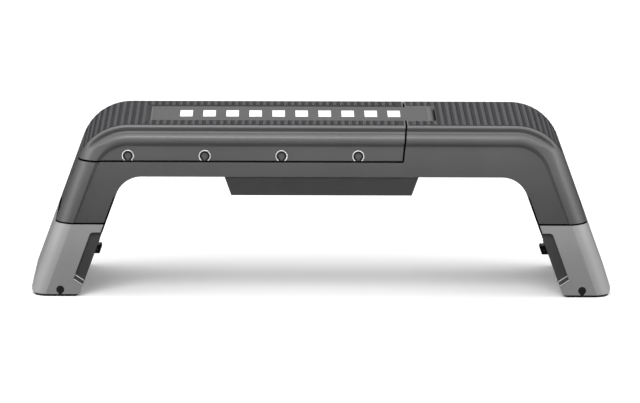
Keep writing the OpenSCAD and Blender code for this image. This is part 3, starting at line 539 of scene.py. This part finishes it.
def ridge_tree(name, material):
    """Node tree that sets one ridge on each point, turned by the point's own attribute."""
    tree = bpy.data.node_groups.new(name, "GeometryNodeTree")
    sizes = (("Ridge length", "X"), ("Ridge width", "Y"), ("Ridge height", "Z"))
    tree.interface.new_socket("Geometry", in_out="INPUT", socket_type="NodeSocketGeometry")
    for label, _ in sizes:
        tree.interface.new_socket(label, in_out="INPUT", socket_type="NodeSocketFloat")
    tree.interface.new_socket("Geometry", in_out="OUTPUT", socket_type="NodeSocketGeometry")
    start = add(tree, "NodeGroupInput")
    end = add(tree, "NodeGroupOutput")
    # A cone with four sides, turned so that its foot is a square one unit wide
    cone = add(tree, "GeometryNodeMeshCone", Vertices=4, Radius_Top=0.42, Radius_Bottom=0.7071,
               Depth=1.0)
    square = add(tree, "GeometryNodeTransform", Rotation=(0, 0, math.pi / 4))
    size = add(tree, "ShaderNodeCombineXYZ")
    scaled = add(tree, "GeometryNodeTransform")
    turn = add(tree, "GeometryNodeInputNamedAttribute", data_type="FLOAT_VECTOR", Name="turn")
    rotation = add(tree, "FunctionNodeEulerToRotation")
    placed = add(tree, "GeometryNodeInstanceOnPoints")
    real = add(tree, "GeometryNodeRealizeInstances")
    paint = add(tree, "GeometryNodeSetMaterial", Material=material)
    for label, axis in sizes:
        tree.links.new(start.outputs[label], size.inputs[axis])
    for source, output, target, socket in ((cone, "Mesh", square, "Geometry"),
                                           (square, "Geometry", scaled, "Geometry"),
                                           (size, "Vector", scaled, "Scale"),
                                           (start, "Geometry", placed, "Points"),
                                           (scaled, "Geometry", placed, "Instance"),
                                           (turn, "Attribute", rotation, "Euler"),
                                           (rotation, "Rotation", placed, "Rotation"),
                                           (placed, "Instances", real, "Geometry"),
                                           (real, "Geometry", paint, "Geometry"),
                                           (paint, "Geometry", end, "Geometry")):
        tree.links.new(source.outputs[output], target.inputs[socket])
    return tree


def set_inputs(modifier, values):
    """Sets a node tree's named inputs by their sockets' identifiers."""
    for item in modifier.node_group.interface.items_tree:
        if item.item_type == "SOCKET" and item.in_out == "INPUT" and item.name in values:
            modifier[item.identifier] = values[item.name]


def point_cloud(name, points):
    """Vertices with a turn and a tone each, for a node tree to set pieces on."""
    mesh = bpy.data.meshes.new(name)
    mesh.from_pydata([p for p, _, _ in points], [], [])
    turn = mesh.attributes.new("turn", "FLOAT_VECTOR", "POINT")
    turn.data.foreach_set("vector", [v for _, t, _ in points for v in t])
    # The tone marks where the plastic is painted lighter, as painted light
    tone = mesh.attributes.new("tone", "FLOAT", "POINT")
    tone.data.foreach_set("value", [t for _, _, t in points])
    obj = bpy.data.objects.new(name, mesh)
    bpy.context.scene.collection.objects.link(obj)
    return obj


def ridge_fits(sizes, s, y):
    """Whether a ridge keeps off the tread's sides, its round corners and the panel's bed."""
    # How far a slanting ridge reaches from its middle, along the deck and across it
    half = 0.5 * sizes.column_w
    slack = 0.4 * sizes.column_w
    room = TREAD_Y - sizes.tread_edge - slack
    past_end = abs(s) - (TREAD_REACH - TREAD_CORNER)
    past_side = abs(y) - (room - TREAD_CORNER)
    in_corner = (past_end > 0 and past_side > 0
                 and math.hypot(past_end, past_side) > TREAD_CORNER - sizes.tread_edge)
    on_bed = (BED_X[0] - sizes.tread_edge - half < s < BED_X[1] + half
              and abs(y) < BED_Y + sizes.tread_edge + slack)
    return abs(y) <= room and not in_corner and not on_bed


def ridge_points(sizes, left, right):
    """Place, turn and tone of each ridge from left to right, in columns that slant in turn."""
    columns = int(2 * TREAD_REACH / sizes.column_w) + 1
    rows = int(2 * TREAD_Y / sizes.ridge_pitch)
    margin = sizes.tread_edge + 0.5 * sizes.column_w
    lift = 0.5 * sizes.ridge_h - 0.05 * MM
    points = []
    for i in range(columns):
        s = (i - columns / 2 + 0.5) * sizes.column_w
        if not left + margin <= s <= right - margin:
            continue
        slant = Matrix.Rotation(math.radians(45 if i % 2 else -45), 3, "Z")
        for k in range(rows + 1):
            y = (k - rows / 2) * sizes.ridge_pitch
            if ridge_fits(sizes, s, y):
                place, tilt = tread_point(s, y, lift)
                turn = Matrix.Rotation(tilt, 3, "Y") @ slant
                # The tone marks every other column, painted lighter as painted light for ridges
                # that slant the other way
                points.append((place, turn.to_euler("XYZ"), i % 2))
    return points


class DECK_OT_treads(bpy.types.Operator):
    """Set the herringbone ridges on both rubber treads"""
    bl_idname = "deck.treads"
    bl_label = "Tread ridges"

    def execute(self, context):
        sizes = context.scene.deck_sizes
        split_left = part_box("backrest_mat")[1].x
        split_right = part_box("seat_mat")[0].x
        for name, body, left, right in (("backrest_ridges", "backrest", -TREAD_REACH, split_left),
                                        ("seat_ridges", "base", split_right, TREAD_REACH)):
            cloud = point_cloud(name, ridge_points(sizes, left, right))
            modifier = cloud.modifiers.new("ridges", "NODES")
            modifier.node_group = ridge_tree(name, finish("tread_rubber"))
            set_inputs(modifier, {"Ridge length": 1.3 * sizes.column_w,
                                  "Ridge width": sizes.ridge_w, "Ridge height": sizes.ridge_h})
            link(settle(cloud), name, body, "tread_rubber")
        return {"FINISHED"}


def keyhole_outline(x, z, r, neck, drop):
    """Edge of a keyhole round (x, z), open downward, from the foot of one side to the other."""
    half = neck / 2
    start = math.asin(half / r)
    steps = 28
    turns = [-math.pi / 2 - start - (2 * math.pi - 2 * start) * i / steps
             for i in range(steps + 1)]
    points = [(-half - FLARE, -drop), (-half, -drop + FLARE),
              *[(r * math.cos(a), r * math.sin(a)) for a in turns],
              (half, -drop + FLARE), (half + FLARE, -drop)]
    return [(x + a, z + b) for a, b in points]


def band(bm, inner, outer, y0, y1):
    """Closed strip between two outlines of the XZ plane, from y0 to y1."""
    rings = [[bm.verts.new((x, y, z)) for x, z in line]
             for line, y in ((inner, y0), (outer, y0), (outer, y1), (inner, y1))]
    count = len(inner)
    for k in range(4):
        a, b = rings[k], rings[(k + 1) % 4]
        for i in range(count - 1):
            bm.faces.new((a[i], b[i], b[i + 1], a[i + 1]))
    bm.faces.new([ring[0] for ring in rings])
    bm.faces.new([ring[-1] for ring in reversed(rings)])


def prism(bm, outline, y0, y1):
    """Closed block with an outline of the XZ plane, from y0 to y1."""
    a, b = [[bm.verts.new((x, y, z)) for x, z in outline] for y in (y0, y1)]
    for i in range(len(outline)):
        j = (i + 1) % len(outline)
        bm.faces.new((a[i], a[j], b[j], b[i]))
    bm.faces.new(a)
    bm.faces.new(list(reversed(b)))


def bead(bm, path, r):
    """Closed round bead along an open path."""
    sides = 8
    rings = []
    across = Vector((0, 1, 0))
    for i, p in enumerate(path):
        ahead = Vector(path[min(i + 1, len(path) - 1)]) - Vector(path[max(i - 1, 0)])
        up = ahead.normalized().cross(across).normalized()
        rings.append([bm.verts.new(Vector(p) + r * (math.cos(a) * across + math.sin(a) * up))
                      for a in (2 * math.pi * k / sides for k in range(sides))])
    for a, b in zip(rings, rings[1:]):
        for k in range(sides):
            bm.faces.new((a[k], a[(k + 1) % sides], b[(k + 1) % sides], b[k]))
    bm.faces.new(rings[0])
    bm.faces.new(list(reversed(rings[-1])))


def highlighted(mesh):
    """Marks a whole mesh to be painted lighter by its plastic: a painted highlight for edges that
    catch the light.
    """
    tone = mesh.attributes.new("tone", "FLOAT", "POINT")
    tone.data.foreach_set("value", [1.0] * len(mesh.vertices))
    return mesh


def to_mesh(bm, name):
    """Turns a work mesh into a mesh whose faces look outward."""
    bmesh.ops.recalc_face_normals(bm, faces=bm.faces)
    mesh = bpy.data.meshes.new(name)
    bm.to_mesh(mesh)
    bm.free()
    return mesh


class DECK_OT_keyholes(bpy.types.Operator):
    """Ring the lid's tube keyholes with painted shadow and highlight; close them from behind"""
    bl_idname = "deck.keyholes"
    bl_label = "Keyholes"

    def execute(self, context):
        sizes = context.scene.deck_sizes
        liners, backs, rims = bmesh.new(), bmesh.new(), bmesh.new()
        drop = KEYHOLE_Z - SEAM_Z - 1.2 * MM
        face_y = WALL_Y + 1.0 * MM
        shadow_ring_y = (WALL_Y - 1.5 * MM, face_y + sizes.shadow_ring_t)
        back_y = (WALL_Y - 4.1 * MM, WALL_Y - 0.9 * MM)
        # How far each outline lies outside the keyhole, and the width of its neck
        outlines = ((-sizes.shadow_ring_w, 4.6 * MM), (0.8 * MM, 9.6 * MM), (0.2 * MM, 9 * MM),
                    (2.6 * MM, 14 * MM))
        for x in KEYHOLE_X:
            inner, outer, back, rim = [
                keyhole_outline(x, KEYHOLE_Z, KEYHOLE_R + grown, neck, drop)
                for grown, neck in outlines]
            for side in (-1, 1):
                # A black ring just inside the mouth, as painted shadow of the hole's depth
                band(liners, inner, outer, side * shadow_ring_y[0], side * shadow_ring_y[1])
                # A pale bead round each mouth, as painted highlight
                bead(rims, [(a, side * face_y, b) for a, b in rim[2:-2]], sizes.bead_r)
                prism(backs, back, side * back_y[0], side * back_y[1])
        link(to_mesh(liners, "liners"), "keyhole_liners", "backrest", "sole_rubber")
        link(to_mesh(backs, "backs"), "keyhole_backs", "backrest", "shell_plastic")
        link(highlighted(smoothed(to_mesh(rims, "rims"))), "keyhole_rims", "backrest", "foot_plastic")
        return {"FINISHED"}


class DECK_OT_feet(bpy.types.Operator):
    """Plug the feet's keyholes with black as painted shade, lay darker plates on the ledges of
    their cut-outs and edge the ledges with painted highlights
    """
    bl_idname = "deck.feet"
    bl_label = "Feet"

    def execute(self, context):
        bead_r = context.scene.deck_sizes.bead_r
        hole_x = leg_x(FOOT_HOLE_OFF, FOOT_HOLE_Z)
        # From inside the foot's face to just proud of it
        hole_y = (171.6 * MM, 172.25 * MM)
        plate_y = (169 * MM, 170.2 * MM)
        for side, body in ((-1, "foot_left"), (1, "foot_right")):
            holes, edges, plates = bmesh.new(), bmesh.new(), bmesh.new()
            hole = keyhole_outline(side * hole_x, FOOT_HOLE_Z, FOOT_HOLE_R, FOOT_HOLE_NECK,
                                   FOOT_HOLE_DROP)
            upper, lower = [[(side * leg_x(off, z + raised), z + raised) for off, z in LEDGE_ENDS]
                            for raised, _ in LEDGE_EDGES]
            for y in (-1, 1):
                # A black plug in each keyhole, as painted shade of the foot's dark inside
                prism(holes, hole, y * hole_y[0], y * hole_y[1])
                for ends, (_, out) in zip((upper, lower), LEDGE_EDGES):
                    # Pale beads along both edges of the ledge, as painted highlight
                    bead(edges, [(a, y * out, z) for a, z in ends], bead_r)
                prism(plates, upper + lower[::-1], y * plate_y[0], y * plate_y[1])
            link(to_mesh(holes, "holes"), body + "_keyholes", body, "sole_rubber")
            link(to_mesh(plates, "plates"), body + "_ledges", body, "shell_plastic")
            link(highlighted(smoothed(to_mesh(edges, "edges"))), body + "_ledge_edges", body,
                 "foot_plastic")
        return {"FINISHED"}


def slab(bm, low, high):
    """Adds a closed box between two corners."""
    for v in bmesh.ops.create_cube(bm, size=1.0)["verts"]:
        v.co = Vector([low[i] + (v.co[i] + 0.5) * (high[i] - low[i]) for i in range(3)])


class DECK_OT_springs(bpy.types.Operator):
    """Shade the catches' springs smooth and give each its slot's finish"""
    bl_idname = "deck.springs"
    bl_label = "Catch springs"

    def execute(self, context):
        for side, turn in (("left", -1), ("right", 1)):
            node = "lock_spring_" + side
            obj = link(smoothed(NODES[node].data), node + "_dressed", NODES[node]["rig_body"],
                       SLOTS[node], [node])
            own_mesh(obj)
        return {"FINISHED"}


class DECK_OT_panel(bpy.types.Operator):
    """Finish the centre panel and print its row of white blocks"""
    bl_idname = "deck.panel"
    bl_label = "Centre panel"

    def execute(self, context):
        sizes = context.scene.deck_sizes
        low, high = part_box("centre_panel")
        panel = bmesh.new()
        slab(panel, low, high)
        top_edges = [e for e in panel.edges if all(v.co.z > low.z + 1e-6 for v in e.verts)]
        bmesh.ops.bevel(panel, geom=top_edges, offset=0.4 * MM, segments=3, profile=0.5,
                        affect="EDGES")
        link(smoothed(to_mesh(panel, "panel")), "centre_panel_dressed", "backrest",
             "panel_plastic", ["centre_panel"])
        blocks = bmesh.new()
        half = 38 * MM
        bottom, top = high.z - 0.01 * MM, high.z + sizes.print_t
        pitch = sizes.block_w + sizes.block_gap
        start = 0.5 * (low.x + high.x) - 0.5 * (sizes.blocks * pitch - sizes.block_gap)
        for i in range(sizes.blocks):
            x = start + i * pitch
            slab(blocks, (x, -half, bottom), (x + sizes.block_w, half, top))
        link(to_mesh(blocks, "print"), "panel_print", "backrest", "white_print")
        return {"FINISHED"}


def lay_floor():
    """Lays a wide pale floor that doesn't light the deck or show in its gloss."""
    r = FLOOR_REACH
    mesh = bpy.data.meshes.new("floor")
    mesh.from_pydata([(-r, -r, 0), (r, -r, 0), (r, r, 0), (-r, r, 0)], [], [(0, 1, 2, 3)])
    floor = bpy.data.objects.new("floor", mesh)
    bpy.context.scene.collection.objects.link(floor)
    material, _, shader = new_material("pale_floor")
    for name, value in (("Base Color", (0.93, 0.93, 0.93, 1)), ("Roughness", 0.85),
                        ("Specular IOR Level", 0.1), ("Emission Color", (1, 1, 1, 1)),
                        ("Emission Strength", 0.12)):
        shader.inputs[name].default_value = value
    mesh.materials.append(material)
    floor.visible_diffuse = False
    floor.visible_glossy = False


def light_world():
    """Lights the deck from a white studio: dimmer in front, and dark low behind the deck."""
    world = bpy.data.worlds.new("studio")
    world.use_nodes = True
    tree = world.node_tree
    split = add(tree, "ShaderNodeSeparateXYZ")
    tree.links.new(add(tree, "ShaderNodeTexCoord").outputs["Generated"], split.inputs["Vector"])
    depth, height = split.outputs["Y"], split.outputs["Z"]
    above = map_range(tree, height, (-0.2, 0.35), (0.1, 1.3))
    behind = map_range(tree, depth, (0.2, 0.75), (0.0, 0.9))
    low = map_range(tree, height, (0.2, 0.5), (1.0, 0.0))
    front = map_range(tree, depth, (-1.0, 0.2), (0.35, 1.0))
    rest = reckon(tree, "SUBTRACT", 1.0, combined(tree, "MULTIPLY", [behind, low]))
    background = tree.nodes["Background"]
    feed(tree, [background.inputs["Strength"], background.inputs["Color"]],
         (combined(tree, "MULTIPLY", [above, rest, front]), (1, 1, 1, 1)))
    bpy.context.scene.world = world


def hang_lamps():
    """Hangs the soft lamps, and the strip that lights the rail's face from the front."""
    for name, (place, size, power, aim_z) in LAMPS.items():
        data = bpy.data.lights.new(name, "AREA")
        data.size = size
        data.energy = power
        if name == "front":
            data.shape = "RECTANGLE"
            data.size_y = STRIP_H
            data.spread = STRIP_SPREAD
        lamp = bpy.data.objects.new(name, data)
        bpy.context.scene.collection.objects.link(lamp)
        lamp.location = place
        lamp.visible_glossy = name != "front"
        aim = Vector((0, 0, aim_z)) - Vector(place)
        lamp.rotation_euler = aim.to_track_quat("-Z", "Y").to_euler()


def set_camera(stage):
    """Sets the camera round the point that it is aimed at."""
    data = bpy.data.cameras.new("camera")
    data.sensor_width = 36.0
    data.lens = stage.lens
    data.clip_end = 200.0
    camera = bpy.data.objects.new("camera", data)
    bpy.context.scene.collection.objects.link(camera)
    aim = Vector((stage.aim_x, 0, stage.aim_z))
    flat = math.cos(stage.elevation) * stage.distance
    place = aim + Vector((flat * math.sin(stage.azimuth), -flat * math.cos(stage.azimuth),
                          stage.distance * math.sin(stage.elevation)))
    look = (aim - place).to_track_quat("-Z", "Y").to_matrix().to_4x4()
    camera.matrix_world = Matrix.Translation(place) @ look @ Matrix.Rotation(stage.roll, 4, "Z")
    bpy.context.scene.camera = camera


class DECK_OT_stage(bpy.types.Operator):
    """Lay the pale floor, hang the soft lights and set the camera"""
    bl_idname = "deck.stage"
    bl_label = "Stage"

    def execute(self, context):
        lay_floor()
        light_world()
        context.scene.view_settings.view_transform = "Standard"
        hang_lamps()
        set_camera(context.scene.deck_stage)
        return {"FINISHED"}


OPERATORS = (DECK_OT_hardware, DECK_OT_shells, DECK_OT_keyholes, DECK_OT_feet, DECK_OT_springs,
             DECK_OT_treads, DECK_OT_panel, DECK_OT_stage)


class DECK_PT_panel(bpy.types.Panel):
    """Lists the deck's pieces in the sidebar"""
    bl_idname = "DECK_PT_panel"
    bl_label = "Workout deck"
    bl_space_type = "VIEW_3D"
    bl_region_type = "UI"
    bl_category = "Deck"

    def draw(self, context):
        for operator in OPERATORS:
            self.layout.operator(operator.bl_idname)
        for settings in (context.scene.deck_sizes, context.scene.deck_colours,
                         context.scene.deck_stage):
            box = self.layout.box()
            for key in settings.__annotations__:
                box.prop(settings, key)


GROUPS = (("deck_sizes", DeckSizes), ("deck_colours", DeckColours), ("deck_stage", DeckStage))


def register():
    """Registers the settings, the operators and the panel."""
    for name, kind in GROUPS:
        bpy.utils.register_class(kind)
        setattr(bpy.types.Scene, name, PointerProperty(type=kind))
    for kind in (*OPERATORS, DECK_PT_panel):
        bpy.utils.register_class(kind)


def unregister():
    """Takes everything back that register added."""
    for kind in (DECK_PT_panel, *reversed(OPERATORS)):
        bpy.utils.unregister_class(kind)
    for name, kind in reversed(GROUPS):
        delattr(bpy.types.Scene, name)
        bpy.utils.unregister_class(kind)


def main():
    """Builds every piece and the stage."""
    register()
    for operator in OPERATORS:
        kind, name = operator.bl_idname.split(".")
        getattr(getattr(bpy.ops, kind), name)()


if __name__ == "__main__":
    main()
